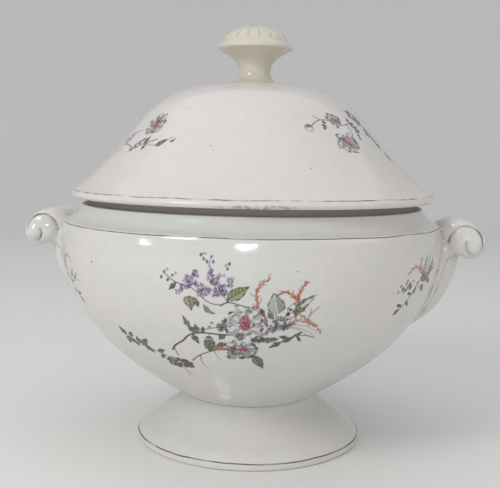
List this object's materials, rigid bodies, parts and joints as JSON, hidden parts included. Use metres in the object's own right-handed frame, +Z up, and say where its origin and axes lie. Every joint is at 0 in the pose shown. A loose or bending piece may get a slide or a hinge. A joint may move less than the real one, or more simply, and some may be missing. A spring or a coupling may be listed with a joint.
{
  "type": "soup tureen",
  "caption": "Pedestal-footed glazed ceramic soup tureen with leaf-scroll handles and a loose domed lid with a fluted knob, painted with flower sprays.",
  "frame": {"origin": "on the axis of the vessel, in the plane the foot ring stands on", "axes": "+Z up along the vessel's axis, handles along X, the main painted spray faces -Y"},
  "size_m": [0.3352, 0.2782, 0.3044],
  "materials": {
    "body_glaze": "glossy",
    "foot_glaze": "glossy",
    "handle_glaze": "glossy",
    "lid_glaze": "glossy",
    "knob_glaze": "glossy"
  },
  "bodies": {
    "base": {"bowl": "body_glaze", "pedestal_foot": "foot_glaze", "handle_left": "handle_glaze", "handle_right": "handle_glaze"},
    "lid": {"lid_dome": "lid_glaze", "lid_knob": "knob_glaze"}
  },
  "joints": [
    {"name": "lid_lift", "type": "slide", "parent": "base", "child": "lid", "axis": [0, 0, 1], "range_m": [0, 0.15]}
  ]
}
